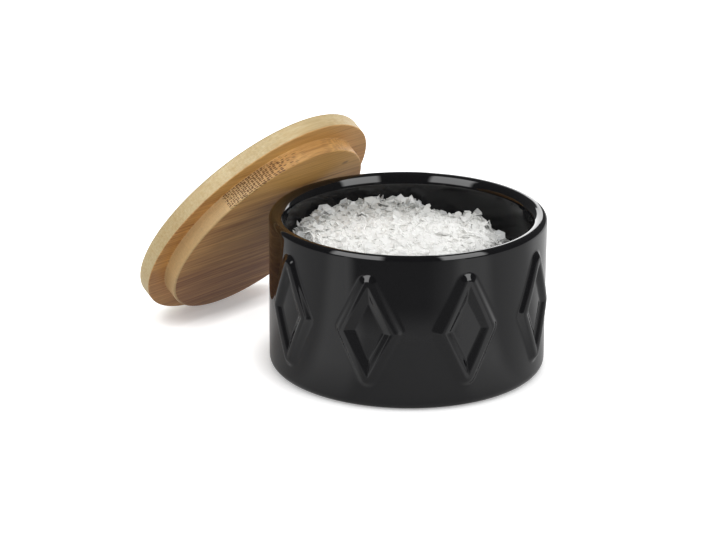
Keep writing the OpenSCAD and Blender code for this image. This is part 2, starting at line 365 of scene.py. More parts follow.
pot = turn_on_lathe("glazed_pot", thin_inside(outline_through(pot_outline(), FINE_SPACING)), column_angles())
print(f"pot: {len(pot.data.vertices)} points, radius {POT_R / MM:.1f} mm, height {POT_H / MM:.1f} mm")

# %% [markdown]
# ## The relief, by rule
# The wall carries a row of open lozenges, raised as if pressed into the clay from a mould and then softened
# by the glaze. Each lies a fixed turn from the next, and its height at any point depends only on how far that
# point is from the lozenge's line. That is a rule, so a Geometry Nodes tree works it out for every point of
# the wall: it finds the nearest lozenge, measures the distance to its line, and pushes the point outwards.

# %% Helpers for geometry trees
def start_tree(name, sizes):
    """A geometry tree with a named input for each size, and its input node."""
    tree = bpy.data.node_groups.new(name, "GeometryNodeTree")
    tree.interface.new_socket("Geometry", in_out="INPUT", socket_type="NodeSocketGeometry")
    for label, value in sizes.items():
        kind = "NodeSocketInt" if isinstance(value, int) else "NodeSocketFloat"
        tree.interface.new_socket(label, in_out="INPUT", socket_type=kind)
    tree.interface.new_socket("Geometry", in_out="OUTPUT", socket_type="NodeSocketGeometry")
    return tree, add_node(tree, "NodeGroupInput").outputs


def run_tree(piece, tree, sizes):
    """Run a tree on a piece with these sizes, and keep what it makes as a plain mesh."""
    modifier = piece.modifiers.new(tree.name, "NODES")
    modifier.node_group = tree
    for item in tree.interface.items_tree:
        if item.name in sizes:
            modifier[item.identifier] = sizes[item.name]
    depsgraph = bpy.context.evaluated_depsgraph_get()
    evaluated = piece.evaluated_get(depsgraph)
    made = bpy.data.meshes.new_from_object(evaluated, preserve_all_data_layers=True, depsgraph=depsgraph)
    piece.modifiers.remove(modifier)
    made.name = piece.name
    piece.data = made


print("helpers: start_tree, run_tree")

# %% Sizes of the relief
RELIEF_SIZES = {
    "Rise": 1.6 * MM,
    "Width": 25.4 * MM,
    "Height": 42.7 * MM,
    "Stroke": 7.4 * MM,
    "Corner": 4.6 * MM,
    "Slope": 3.3 * MM,
    "Middle": 28.85 * MM,
    "Wall skin": 0.2 * MM,
    "Count": LOZENGE_COUNT,
    "Turn": LOZENGE_TURN,
    "Row turn": ROW_TURN,
    "Wall radius": POT_R,
    "Waviness": 0.05 * MM,
    "Wave length": 22 * MM,
    "Glaze line": 0.25 * MM,
}
print(f"lozenges: {RELIEF_SIZES['Width'] / MM:.1f} mm wide and {RELIEF_SIZES['Height'] / MM:.1f} mm high")

# %% From a point to the nearest lozenge
def angle_off_front(tree, xyz):
    """Nodes for how far a point is turned off the pot's front."""
    front = add_node(tree, MATH, xyz["Y"], -1.0, operation="MULTIPLY")
    return add_node(tree, MATH, xyz["X"], front, operation="ARCTAN2")


def from_nearest_lozenge(tree, size, xyz, radius):
    """Nodes for how far a point lies across and up from the middle of the nearest lozenge."""
    # which lozenge of the row is nearest, counted from the left, and how far off its middle this point is
    from_row = add_node(tree, MATH, angle_off_front(tree, xyz), size["Row turn"], operation="SUBTRACT")
    in_turns = add_node(tree, MATH, from_row, size["Turn"], operation="DIVIDE")
    last = add_node(tree, MATH, size["Count"], 1.0, operation="SUBTRACT")
    half_last = add_node(tree, MATH, last, 0.5, operation="MULTIPLY")
    counted = add_node(tree, MATH, in_turns, half_last, operation="ADD")
    nearest = add_node(tree, MATH, counted, operation="ROUND")
    nearest = add_node(tree, MATH, nearest, 0.0, operation="MAXIMUM")
    nearest = add_node(tree, MATH, nearest, last, operation="MINIMUM")
    off_turns = add_node(tree, MATH, counted, nearest, operation="SUBTRACT")
    off_angle = add_node(tree, MATH, off_turns, size["Turn"], operation="MULTIPLY")
    sine = add_node(tree, MATH, off_angle, operation="SINE")
    across = add_node(tree, MATH, sine, radius, operation="MULTIPLY")
    across = add_node(tree, MATH, across, operation="ABSOLUTE")
    up = add_node(tree, MATH, xyz["Z"], size["Middle"], operation="SUBTRACT")
    up = add_node(tree, MATH, up, operation="ABSOLUTE")
    return across, up


def lozenge_distance(tree, size, across, up):
    """Nodes for the distance to a sharp lozenge, which the corner's rounding grows to full size."""
    # its side, from its flank to its tip
    half_w = add_node(tree, MATH, size["Width"], 0.5, operation="MULTIPLY")
    flank = add_node(tree, MATH, half_w, size["Corner"], operation="SUBTRACT")
    half_h = add_node(tree, MATH, size["Height"], 0.5, operation="MULTIPLY")
    tip = add_node(tree, MATH, half_h, size["Corner"], operation="SUBTRACT")
    flank_2 = add_node(tree, MATH, flank, flank, operation="MULTIPLY")
    side_2 = add_node(tree, MATH, tip, tip, flank_2, operation="MULTIPLY_ADD")

    # the nearest point of that side, and the distance to it, which is negative inside the lozenge
    inward = add_node(tree, MATH, flank, across, operation="SUBTRACT")
    along = add_node(tree, MATH, inward, flank, operation="MULTIPLY")
    along = add_node(tree, MATH, up, tip, along, operation="MULTIPLY_ADD")
    share = add_node(tree, MATH, along, side_2, operation="DIVIDE", use_clamp=True)
    side_x = add_node(tree, MATH, share, flank, operation="MULTIPLY")
    side_x = add_node(tree, MATH, flank, side_x, operation="SUBTRACT")
    side_y = add_node(tree, MATH, share, tip, operation="MULTIPLY")
    point = add_node(tree, "ShaderNodeCombineXYZ", across, up)
    foot_point = add_node(tree, "ShaderNodeCombineXYZ", side_x, side_y)
    distance = add_node(tree, VECTOR_MATH, point, foot_point, operation="DISTANCE").outputs["Value"]
    reach_x = add_node(tree, MATH, across, flank, operation="DIVIDE")
    reach_y = add_node(tree, MATH, up, tip, operation="DIVIDE")
    reach = add_node(tree, MATH, reach_x, reach_y, operation="ADD")
    outside = add_node(tree, MATH, reach, 1.0, operation="SUBTRACT")
    outside = add_node(tree, MATH, outside, operation="SIGN")
    return add_node(tree, MATH, distance, outside, operation="MULTIPLY")


print("helpers: angle_off_front, from_nearest_lozenge, lozenge_distance")

# %% The tree that presses the lozenges
def make_relief_tree():
    """A tree that raises a row of open lozenges on a round wall, and gives the foot its bare clay."""
    tree, size = start_tree("press lozenges", RELIEF_SIZES)
    position = add_node(tree, "GeometryNodeInputPosition")
    xyz = add_node(tree, "ShaderNodeSeparateXYZ", position).outputs
    radius_2 = add_node(tree, MATH, xyz["X"], xyz["X"], operation="MULTIPLY")
    radius_2 = add_node(tree, MATH, xyz["Y"], xyz["Y"], radius_2, operation="MULTIPLY_ADD")
    radius = add_node(tree, MATH, radius_2, operation="SQRT")
    across, up = from_nearest_lozenge(tree, size, xyz, radius)

    # how far this point lies inside the edge of the stroke, eased into a soft-shouldered rise
    half_stroke = add_node(tree, MATH, size["Stroke"], 0.5, operation="MULTIPLY")
    line = add_node(tree, MATH, size["Corner"], half_stroke, operation="SUBTRACT")
    off_line = add_node(tree, MATH, lozenge_distance(tree, size, across, up), line, operation="SUBTRACT")
    off_line = add_node(tree, MATH, off_line, operation="ABSOLUTE")
    within = add_node(tree, MATH, half_stroke, off_line, operation="SUBTRACT")
    rise = add_node(tree, MAP_RANGE, interpolation_type="SMOOTHSTEP", inputs={
        "Value": within, "From Max": size["Slope"], "To Max": size["Rise"]})
    wall_line = add_node(tree, MATH, size["Wall radius"], size["Wall skin"], operation="SUBTRACT")
    on_wall = add_node(tree, MATH, radius, wall_line, operation="GREATER_THAN")
    rise = add_node(tree, MATH, rise, on_wall, operation="MULTIPLY")

    # a slow waviness, such as a mould and a thick glaze leave, and the push outwards
    per_wave = add_node(tree, MATH, 1.0, size["Wave length"], operation="DIVIDE")
    noise = add_node(tree, NOISE, inputs={"Vector": position, "Scale": per_wave, "Detail": 1.0})
    wave = add_node(tree, MATH, noise.outputs["Fac"], -0.5, operation="ADD")
    push = add_node(tree, MATH, wave, size["Waviness"], rise, operation="MULTIPLY_ADD")
    flat = add_node(tree, "ShaderNodeCombineXYZ", xyz["X"], xyz["Y"])
    outwards = add_node(tree, VECTOR_MATH, flat, operation="NORMALIZE")
    offset = add_node(tree, VECTOR_MATH, outwards, inputs={"Scale": push}, operation="SCALE")
    pressed = add_node(tree, "GeometryNodeSetPosition", size["Geometry"], inputs={"Offset": offset})
    real = add_node(tree, "GeometryNodeRealizeInstances", pressed)
    glazed = add_node(tree, "GeometryNodeSetMaterial", real, inputs={"Material": glaze})
    bare = add_node(tree, MATH, xyz["Z"], size["Glaze line"], operation="LESS_THAN")
    wiped = add_node(tree, "GeometryNodeSetMaterial", glazed, inputs={"Selection": bare, "Material": clay})
    add_node(tree, "NodeGroupOutput", wiped)
    return tree


run_tree(pot, make_relief_tree(), RELIEF_SIZES)
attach(pot, "pot")
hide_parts("pot")
print(f"relief: {len(pot.data.polygons)} faces, materials {[m.name for m in pot.data.materials]}")

# %% [markdown]
# ## Where the lid leans
# The lid stands on its edge on the table and leans on the pot's rim with its plug towards the pot. The same
# rule that places the CAD solid places this finer one: its edge touches the table, and its plug's face
# touches the round of the rim. The printed difference between the two boxes shows that they agree.

# %% The lid's place
CAP_R = POT_R + 0.4 * MM
CAP_T = 6.5 * MM
CAP_UPPER_R = 1.4 * MM
CAP_LOWER_R = 0.4 * MM
PLUG_R = MOUTH_R - 0.8 * MM
PLUG_H = 6.2 * MM
PLUG_EDGE_R = 0.6 * MM
STEP_FILLET_R = 0.4 * MM
LEAN_TILT = math.radians(53.2)
LEAN_TURN = math.radians(41.4)
LEAN_OFFSET = -4.8 * MM
RIM_GAP = 0.2 * MM
TABLE_GAP = 0.05 * MM

edge_z = (CAP_R - CAP_LOWER_R) * math.sin(LEAN_TILT) - CAP_LOWER_R * math.cos(LEAN_TILT)
lean_z = TABLE_GAP + CAP_LOWER_R + edge_z
rim_round_z = POT_H - RIM_OUTER_R
plug_to_round = PLUG_H + RIM_OUTER_R + RIM_GAP
lean_reach = POT_R - RIM_OUTER_R + (
    plug_to_round + (rim_round_z - lean_z) * math.cos(LEAN_TILT)) / math.sin(LEAN_TILT)
lid_place = Vector((
    -lean_reach * math.cos(LEAN_TURN) + LEAN_OFFSET * math.sin(LEAN_TURN),
    lean_reach * math.sin(LEAN_TURN) + LEAN_OFFSET * math.cos(LEAN_TURN),
    lean_z,
))
lid_turn = Euler((0, -LEAN_TILT, -LEAN_TURN))
print("lid's middle:", [round(size / MM, 2) for size in lid_place], "mm")

# %% [markdown]
# ## Bamboo
# A bamboo board is glued up from planed strips about as wide as a finger, all with their fibres one way. The
# fibres are bundles under a millimetre apart: cut along they are fine streaks, and cut across they are dark
# dots. One solid pattern gives both, if its cells are as wide as that and some centimetres long. So the
# pattern is turned into the lid's own directions first: x across the strips, y along the fibres, z through
# the board. All sizes of the wood are in millimetres.

# %% The board's own directions
def board_directions(tree):
    """Nodes for the board's own coordinates in millimetres, as one vector and apart."""
    place = add_node(tree, "ShaderNodeTexCoord").outputs["Object"]
    board = add_node(tree, "ShaderNodeMapping", vector_type="TEXTURE", inputs={
        "Vector": place, "Location": lid_place, "Rotation": lid_turn, "Scale": (MM, MM, MM)})
    return board, add_node(tree, "ShaderNodeSeparateXYZ", board).outputs


print("helper: board_directions")

# %% [markdown]
# ## Strips, fibres and tone
# Each strip was cut from another culm, so it has a tone of its own, and the cap and the plug are two plies of
# the board, whose strips don't line up. Noise that is drawn out along the fibres gives the streaks, and wider
# noise lets their tone drift. The lid is paler towards its lower edge, which is painted light from the floor,
# and the face of the plug is darker towards its lower side, which is painted shade where the pot keeps light
# off.

# %% The wood's figure
GLUE_LINE = 0.4
PLY_SHIFT = 8.0
STRIP_W = 19.0
STRIP_EDGE = 25.0
BUNDLE_CELL = (0.75, 34.0, 0.65)
BUNDLE_EDGE = (0.3, 0.55)
BUNDLE_DISORDER = 0.4
STREAK_CELL = (1.1, 45.0, 1.1)
STREAK_FINENESS = 0.65
STREAK_WEIGHT = 2.2
DRIFT_CELL = (9.0, 70.0, 9.0)
TONE_WEIGHT = 0.35
# painted light low on the lid, and painted shade low on the plug's face
LOW_EDGE_LIGHT_SPAN = (-45.0, 15.0)
LOW_EDGE_LIGHT_PALER = -0.2
PLUG_FACE_SHADE_SPAN = (-34.0, 4.0)
PLUG_FACE_SHADE_DARKER = 0.45
FACE_SKIN = 0.3
DARKNESS_SPAN = (1.2, 2.35)


def wood_figure(tree, board, xyz):
    """Nodes for the cap's ply, the distance from the skin strip, the dots, the streaks and the darkness."""
    # each ply has its own strips, and each strip its own tone
    cap_ply = add_node(tree, MATH, xyz["Z"], GLUE_LINE, operation="GREATER_THAN")
    shifted = add_node(tree, MATH, cap_ply, PLY_SHIFT, xyz["X"], operation="MULTIPLY_ADD")
    from_edge = add_node(tree, MATH, shifted, -STRIP_EDGE, operation="ADD")
    in_strips = add_node(tree, MATH, from_edge, STRIP_W, operation="DIVIDE")
    strip = add_node(tree, MATH, in_strips, operation="FLOOR")
    strip_ply = add_node(tree, "ShaderNodeCombineXYZ", strip, cap_ply)
    tone = add_node(tree, "ShaderNodeTexWhiteNoise", strip_ply, noise_dimensions="2D")

    # fibre bundles are long cells, dark in their middles; streaks and slow drifts follow them
    in_bundles, in_streaks, in_drifts = (
        add_node(tree, VECTOR_MATH, board, tuple(1 / size for size in cell), operation="MULTIPLY")
        for cell in (BUNDLE_CELL, STREAK_CELL, DRIFT_CELL))
    bundles = add_node(tree, "ShaderNodeTexVoronoi", in_bundles, inputs={
        "Scale": 1.0, "Randomness": BUNDLE_DISORDER})
    dots = add_node(tree, MAP_RANGE, interpolation_type="SMOOTHSTEP", inputs={
        "Value": bundles.outputs["Distance"], "From Min": BUNDLE_EDGE[0], "From Max": BUNDLE_EDGE[1],
        "To Min": 1.0, "To Max": 0.0})
    streaks = add_node(tree, NOISE, in_streaks, inputs={
        "Scale": 1.0, "Detail": 4.0, "Roughness": STREAK_FINENESS}).outputs["Fac"]
    drifts = add_node(tree, NOISE, in_drifts, inputs={
        "Scale": 1.0, "Detail": 2.0}).outputs["Fac"]

    # how dark the wood is, by streak, drift and strip, with painted light low on the lid and painted shade low
    # on the plug's face
    mixed = add_node(tree, MATH, streaks, STREAK_WEIGHT, drifts, operation="MULTIPLY_ADD")
    mixed = add_node(tree, MATH, tone.outputs["Value"], TONE_WEIGHT, mixed, operation="MULTIPLY_ADD")
    # painted light: the lid is paler towards its lower edge, where light from the floor falls
    side = add_node(tree, MAP_RANGE, inputs={
        "Value": xyz["X"], "From Min": LOW_EDGE_LIGHT_SPAN[0], "From Max": LOW_EDGE_LIGHT_SPAN[1],
        "To Min": LOW_EDGE_LIGHT_PALER, "To Max": 0.0})
    mixed = add_node(tree, MATH, mixed, side, operation="ADD")
    on_face = add_node(tree, MATH, xyz["Z"], FACE_SKIN - PLUG_H / MM, operation="LESS_THAN")
    # painted shade: the plug's face is darker towards its lower side, where the pot keeps the light off it
    plug_face_shade = add_node(tree, MAP_RANGE, interpolation_type="SMOOTHSTEP", inputs={
        "Value": xyz["X"], "From Min": PLUG_FACE_SHADE_SPAN[0], "From Max": PLUG_FACE_SHADE_SPAN[1],
        "To Min": PLUG_FACE_SHADE_DARKER, "To Max": 0.0})
    mixed = add_node(tree, MATH, on_face, plug_face_shade, mixed, operation="MULTIPLY_ADD")
    darkness = add_node(tree, MAP_RANGE, inputs={
        "Value": mixed, "From Min": DARKNESS_SPAN[0], "From Max": DARKNESS_SPAN[1]})
    return cap_ply, strip, from_edge, dots, streaks, darkness


print("helper: wood_figure")

# %% [markdown]
# ## The plug's wall and face
# The strip from near the culm's skin is the yellowest, and where the plug's wall cuts it across, its close
# bundles show as rows of dots. Further round, the same wall cuts the other strips across, and there it is
# paler: painted light, where light from the left and from the floor falls. A small knot on the plug's face is
# what is left of a twig. Each of these is a colour of its own, and they are laid over each other as glazes
# are, each with a share that says where it shows.

# %% Where the fibres are cut across
WALL_SKIN = 0.8
STEP_SKIN = 0.3
# painted light on the plug's wall, on the side that faces left and forward
PLUG_WALL_LIGHT_SPAN = (-16.0, -32.0)
PLUG_WALL_LIGHT_SHARE = 0.7
DOT_SPAN = (-15.0, -3.0)
DOT_SHARES = (1.0, 0.3)
DOT_LEAST_SHARE = 0.1


def cut_shares(tree, board, xyz, figure):
    """Nodes for the shares of painted light and of dots, which show most on the plug's wall."""
    cap_ply, strip, _, dots, _, _ = figure
    flat = add_node(tree, VECTOR_MATH, board, (1.0, 1.0, 0.0), operation="MULTIPLY")
    from_axis = add_node(tree, VECTOR_MATH, flat, operation="LENGTH").outputs["Value"]
    on_wall = add_node(tree, MATH, from_axis, PLUG_R / MM - WALL_SKIN, operation="GREATER_THAN")
    below_step = add_node(tree, MATH, xyz["Z"], -STEP_SKIN, operation="LESS_THAN")
    on_wall = add_node(tree, MATH, on_wall, below_step, operation="MULTIPLY")
    # painted light: the plug's wall is paler where light from the left and from the floor falls
    plug_wall_light = add_node(tree, MAP_RANGE, interpolation_type="SMOOTHSTEP", inputs={
        "Value": xyz["Y"], "From Min": PLUG_WALL_LIGHT_SPAN[0], "From Max": PLUG_WALL_LIGHT_SPAN[1], "To Max": PLUG_WALL_LIGHT_SHARE})
    plug_wall_light = add_node(tree, MATH, plug_wall_light, on_wall, operation="MULTIPLY")

    # rows of dots on the skin strip, and a trace of them elsewhere
    skin_strip = add_node(tree, MATH, strip, -0.5, operation="GREATER_THAN")
    skin_strip = add_node(tree, MATH, skin_strip, cap_ply, operation="SUBTRACT", use_clamp=True)
    cut_across = add_node(tree, MAP_RANGE, interpolation_type="SMOOTHSTEP", inputs={
        "Value": xyz["Y"], "From Min": DOT_SPAN[0], "From Max": DOT_SPAN[1],
        "To Min": DOT_SHARES[0], "To Max": DOT_SHARES[1]})
    end_grain = add_node(tree, MATH, on_wall, skin_strip, operation="MULTIPLY")
    end_grain = add_node(tree, MATH, end_grain, cut_across, operation="MULTIPLY")
    dot_share = add_node(tree, MATH, end_grain, DOT_LEAST_SHARE, operation="MAXIMUM")
    return plug_wall_light, add_node(tree, MATH, dot_share, dots, operation="MULTIPLY")


print("helper: cut_shares")

# %% The wood's colours
PLUG_TINTS = ("#dba55f", "#8f5726")
# the cap's tints are paler than the plug's: partly the ply's own tone, partly painted light from above
CAP_TONE_AND_LIGHT_TINTS = ("#d6c496", "#c2a26c")
SKIN_TINTS = ("#e6b56a", "#b58344")
SKIN_BLEND = 6.0
# the pale tint of the painted light on the plug's wall
PLUG_WALL_LIGHT_TINT = "#dabc86"
DOT_TINT = "#6a4217"
KNOT_AT = (31.7, 21.6)
KNOT_CELL = (1.2, 2.6, 1.0)
KNOT_EDGE = (0.2, 1.0)
KNOT_SHARE = 0.55
KNOT_TINT = "#4f3013"


def wood_colour(tree, board, xyz, figure):
    """Nodes for the colour of the wood all over the lid."""
    cap_ply, _, from_edge, _, _, darkness = figure
    # the cap's wood is paler: its own tone, and painted light from above
    plug_wood, cap_wood_and_light, skin_wood = (
        add_node(tree, MIX, data_type="RGBA", inputs={
            "Factor": darkness, COLOUR_A: colour(pale), COLOUR_B: colour(dark)}).outputs[COLOUR_OUT]
        for pale, dark in (PLUG_TINTS, CAP_TONE_AND_LIGHT_TINTS, SKIN_TINTS))
    skin_share = add_node(tree, MAP_RANGE, interpolation_type="SMOOTHSTEP", inputs={
        "Value": from_edge, "From Min": -SKIN_BLEND, "From Max": SKIN_BLEND})
    skin_share = add_node(tree, MATH, skin_share, cap_ply, operation="SUBTRACT", use_clamp=True)
    plug_wall_light, dot_share = cut_shares(tree, board, xyz, figure)

    # the knot
    per_cell = tuple(1 / size for size in KNOT_CELL)
    from_knot = add_node(tree, VECTOR_MATH, board, (*KNOT_AT, -PLUG_H / MM), operation="SUBTRACT")
    from_knot = add_node(tree, VECTOR_MATH, from_knot, per_cell, operation="MULTIPLY")
    from_knot = add_node(tree, VECTOR_MATH, from_knot, operation="LENGTH").outputs["Value"]
    knot = add_node(tree, MAP_RANGE, interpolation_type="SMOOTHSTEP", inputs={
        "Value": from_knot, "From Min": KNOT_EDGE[0], "From Max": KNOT_EDGE[1],
        "To Min": KNOT_SHARE, "To Max": 0.0})

    # one colour over another, from the plain wood up
    wood = plug_wood
    for share, over in ((cap_ply, cap_wood_and_light), (skin_share, skin_wood), (plug_wall_light, colour(PLUG_WALL_LIGHT_TINT)),
                        (dot_share, colour(DOT_TINT)), (knot, colour(KNOT_TINT))):
        mixed = add_node(tree, MIX, data_type="RGBA", inputs={"Factor": share, COLOUR_A: wood, COLOUR_B: over})
        wood = mixed.outputs[COLOUR_OUT]
    return wood


print("helper: wood_colour")

# %% Bamboo
GRAIN_DEPTH = 0.08 * MM
GRAIN_SHARE = 0.3
BAMBOO_ROUGH = (0.4, 0.6)


def make_bamboo():
    """Laminated bamboo, sanded and oiled: satin, honey coloured, with fibre bundles as streaks and dots."""
    material, tree = start_material("sanded laminated bamboo")
    board, xyz = board_directions(tree)
    figure = wood_figure(tree, board, xyz)
    _, _, _, dots, streaks, _ = figure
    ridge = add_node(tree, MATH, dots, -0.5, streaks, operation="MULTIPLY_ADD")
    bump = add_node(tree, "ShaderNodeBump", inputs={
        "Height": ridge, "Strength": GRAIN_SHARE, "Distance": GRAIN_DEPTH})
    rough = add_node(tree, MAP_RANGE, inputs={
        "Value": streaks, "To Min": BAMBOO_ROUGH[0], "To Max": BAMBOO_ROUGH[1]})
    surface = add_node(tree, "ShaderNodeBsdfPrincipled", inputs={
        "Base Color": wood_colour(tree, board, xyz, figure), "Roughness": rough, "Normal": bump})
    add_node(tree, "ShaderNodeOutputMaterial", surface)
    return material


bamboo = make_bamboo()
print("material:", bamboo.name)

# %% [markdown]
# ## The lid
# The lid is a disc with a stepped plug, turned from one glued-up board, so it comes off the same lathe
# function as the pot. The outline is drawn lying down, with the cap's underside at height zero, and the whole
# mesh is then moved to where the lid leans.

# %% Turn the lid
LID_COLUMNS = 240
LID_SPACING = 1.2 * MM


def lid_outline():
    """Half of the lid's section: across the plug's face, out along the step and back over the cap."""
    return [
        [(0, -PLUG_H)],
        arc((PLUG_R - PLUG_EDGE_R, PLUG_EDGE_R - PLUG_H), PLUG_EDGE_R, -90, 0, 6),
        arc((PLUG_R + STEP_FILLET_R, -STEP_FILLET_R), STEP_FILLET_R, 180, 90, 4),
        arc((CAP_R - CAP_LOWER_R, CAP_LOWER_R), CAP_LOWER_R, -90, 0, 5),
        arc((CAP_R - CAP_UPPER_R, CAP_T - CAP_UPPER_R), CAP_UPPER_R, 0, 90, 8),
        [(0, CAP_T)],
    ]


lid_angles = np.linspace(0, 2 * math.pi, LID_COLUMNS, endpoint=False)
lid = turn_on_lathe("bamboo_lid", outline_through(lid_outline(), LID_SPACING), lid_angles)
lid.data.transform(Matrix.Translation(lid_place) @ lid_turn.to_matrix().to_4x4())
lid.data.materials.append(bamboo)
lid_points = np.array([point.co for point in lid.data.vertices])
cad_low, cad_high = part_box("lid")
print("lid's box differs by", np.round((lid_points.min(0) - cad_low) / MM, 3), "and",
      np.round((lid_points.max(0) - cad_high) / MM, 3), "mm")
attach(lid, "lid")
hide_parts("lid")

# %% [markdown]
# ## Salt
# Flaky salt is thin crystal plates. Where many lie together they scatter the light and look white and soft.
# A plate that stands alone lets the dark through. So there are two materials: a white one in which light
# spreads a little under the surface, with painted shade that greys it away from a lit spot in front of the
# middle towards the rim, and a clear one whose alpha shows what is behind it.

# %% Salt crystals
SALT_IOR = 1.54
SALT_TINTS = ("#fafaf7", "#fefefc")
# painted shade: a grey for the salt towards the rim, away from a lit spot in front of the middle
SALT_SHADE_TINT = "#bfc0bd"
SALT_LIT_AT = (0.0, -20 * MM, 46 * MM)
SALT_SHADE_SPAN = (30 * MM, 56 * MM)
SALT_GRAIN = 0.9 * MM
SALT_GRAIN_DEPTH = 0.2 * MM
SALT_GRAIN_SHARE = 0.12
SALT_ROUGH = 0.6
SALT_SPREAD = 1.8 * MM
SALT_SPREAD_SHARE = 0.1
HEAP_IOR = 1.45
FROST_TINTS = ("#dfe1e1", "#f2f3f2")
FROST_ROUGH = 0.3
FROST_ALPHA = 0.55


def make_salt():
    """Sea salt in a heap: white by scattering, soft and dull, with painted shade that greys it towards the rim.
    """
    material, tree = start_material("heaped sea salt")
    place = add_node(tree, "ShaderNodeTexCoord").outputs["Object"]
    grain = add_node(tree, NOISE, inputs={"Vector": place, "Scale": 1 / SALT_GRAIN, "Detail": 3.0})
    white = add_node(tree, MIX, data_type="RGBA", inputs={
        "Factor": grain.outputs["Fac"], COLOUR_A: colour(SALT_TINTS[0]), COLOUR_B: colour(SALT_TINTS[1])})
    # painted shade: the salt greys with distance from a lit spot in front of the middle
    away = add_node(tree, VECTOR_MATH, place, SALT_LIT_AT, operation="DISTANCE").outputs["Value"]
    salt_shade = add_node(tree, MAP_RANGE, interpolation_type="SMOOTHSTEP", inputs={
        "Value": away, "From Min": SALT_SHADE_SPAN[0], "From Max": SALT_SHADE_SPAN[1]})
    shade = add_node(tree, MIX, data_type="RGBA", inputs={
        "Factor": salt_shade, COLOUR_A: white.outputs[COLOUR_OUT], COLOUR_B: colour(SALT_SHADE_TINT)})
    bump = add_node(tree, "ShaderNodeBump", inputs={
        "Height": grain.outputs["Fac"], "Strength": SALT_GRAIN_SHARE, "Distance": SALT_GRAIN_DEPTH})
    crystal = add_node(tree, "ShaderNodeBsdfPrincipled", inputs={
        "Base Color": shade.outputs[COLOUR_OUT], "Roughness": SALT_ROUGH, "IOR": HEAP_IOR,
        "Subsurface Weight": SALT_SPREAD_SHARE, "Subsurface Radius": (1.0, 1.0, 1.0),
        "Subsurface Scale": SALT_SPREAD, "Normal": bump})
    add_node(tree, "ShaderNodeOutputMaterial", crystal)
    return material


def make_clear_salt():
    """One plate of sea salt: clear crystal with a frosted face."""
    material, tree = start_material("clear salt flake")
    place = add_node(tree, "ShaderNodeTexCoord").outputs["Object"]
    frost = add_node(tree, NOISE, inputs={"Vector": place, "Scale": 1 / SALT_GRAIN, "Detail": 2.0})
    shade = add_node(tree, MIX, data_type="RGBA", inputs={
        "Factor": frost.outputs["Fac"], COLOUR_A: colour(FROST_TINTS[0]), COLOUR_B: colour(FROST_TINTS[1])})
    crystal = add_node(tree, "ShaderNodeBsdfPrincipled", inputs={
        "Base Color": shade.outputs[COLOUR_OUT], "Roughness": FROST_ROUGH, "IOR": SALT_IOR,
        "Alpha": FROST_ALPHA})
    add_node(tree, "ShaderNodeOutputMaterial", crystal)
    return material


white_salt = make_salt()
clear_salt = make_clear_salt()
print("materials:", white_salt.name, "and", clear_salt.name)

# %% [markdown]
# ## The heap
# The CAD solid of the salt already has the heap's form and its large plates, so the heap starts as a copy of
# that mesh. The copy's loose triangles are merged, and a tree cuts them finer and moves the points of the top
# a little along their normals, so that the flat facets become crumbs.

# %% Sizes and limits of the heap
HEAP_SIZES = {
    "Cuts": 2,
    "Crumb": 0.9 * MM,
    "Crumb length": 2.2 * MM,
    "Ceiling": 50.1 * MM,
    "Wall": MOUTH_R - 0.35 * MM,
}


def hold_inside(tree, size, geometry):
    """Nodes that keep every point under the closed lid's plug and off the pot's wall."""
    where = add_node(tree, "GeometryNodeInputPosition")
    xyz = add_node(tree, "ShaderNodeSeparateXYZ", where).outputs
    low = add_node(tree, MATH, xyz["Z"], size["Ceiling"], operation="MINIMUM")
    flat = add_node(tree, "ShaderNodeCombineXYZ", xyz["X"], xyz["Y"])
    reach = add_node(tree, VECTOR_MATH, flat, operation="LENGTH").outputs["Value"]
    allowed = add_node(tree, MATH, reach, size["Wall"], operation="MINIMUM")
    shrink = add_node(tree, MATH, allowed, reach, operation="DIVIDE")
    kept_x = add_node(tree, MATH, xyz["X"], shrink, operation="MULTIPLY")
    kept_y = add_node(tree, MATH, xyz["Y"], shrink, operation="MULTIPLY")
    kept = add_node(tree, "ShaderNodeCombineXYZ", kept_x, kept_y, low)
    return add_node(tree, "GeometryNodeSetPosition", geometry, inputs={"Position": kept})


print(f"helper: hold_inside, at most {HEAP_SIZES['Ceiling'] / MM:.1f} mm high")

# %% Crumble the heap
SALT_SHOULDER = 30 * MM
MERGE_WITHIN = 0.001 * MM


def make_crumble_tree():
    """A tree that cuts a heap's facets finer and roughens its top."""
    tree, size = start_tree("crumble the heap", HEAP_SIZES)
    cut = add_node(tree, "GeometryNodeSubdivideMesh", size["Geometry"], inputs={"Level": size["Cuts"]})
    position = add_node(tree, "GeometryNodeInputPosition")
    per_crumb = add_node(tree, MATH, 1.0, size["Crumb length"], operation="DIVIDE")
    noise = add_node(tree, NOISE, inputs={"Vector": position, "Scale": per_crumb, "Detail": 3.0})
    height = add_node(tree, MATH, noise.outputs["Fac"], -0.5, operation="ADD")
    z = add_node(tree, "ShaderNodeSeparateXYZ", position).outputs["Z"]
    on_top = add_node(tree, MATH, z, SALT_SHOULDER, operation="GREATER_THAN")
    height = add_node(tree, MATH, height, on_top, operation="MULTIPLY")
    height = add_node(tree, MATH, height, size["Crumb"], operation="MULTIPLY")
    normal = add_node(tree, "GeometryNodeInputNormal")
    offset = add_node(tree, VECTOR_MATH, normal, inputs={"Scale": height}, operation="SCALE")
    moved = add_node(tree, "GeometryNodeSetPosition", cut, inputs={"Offset": offset})
    held = hold_inside(tree, size, moved)
    real = add_node(tree, "GeometryNodeRealizeInstances", held)
    dressed = add_node(tree, "GeometryNodeSetMaterial", real, inputs={"Material": white_salt})
    add_node(tree, "NodeGroupOutput", dressed)
    return tree


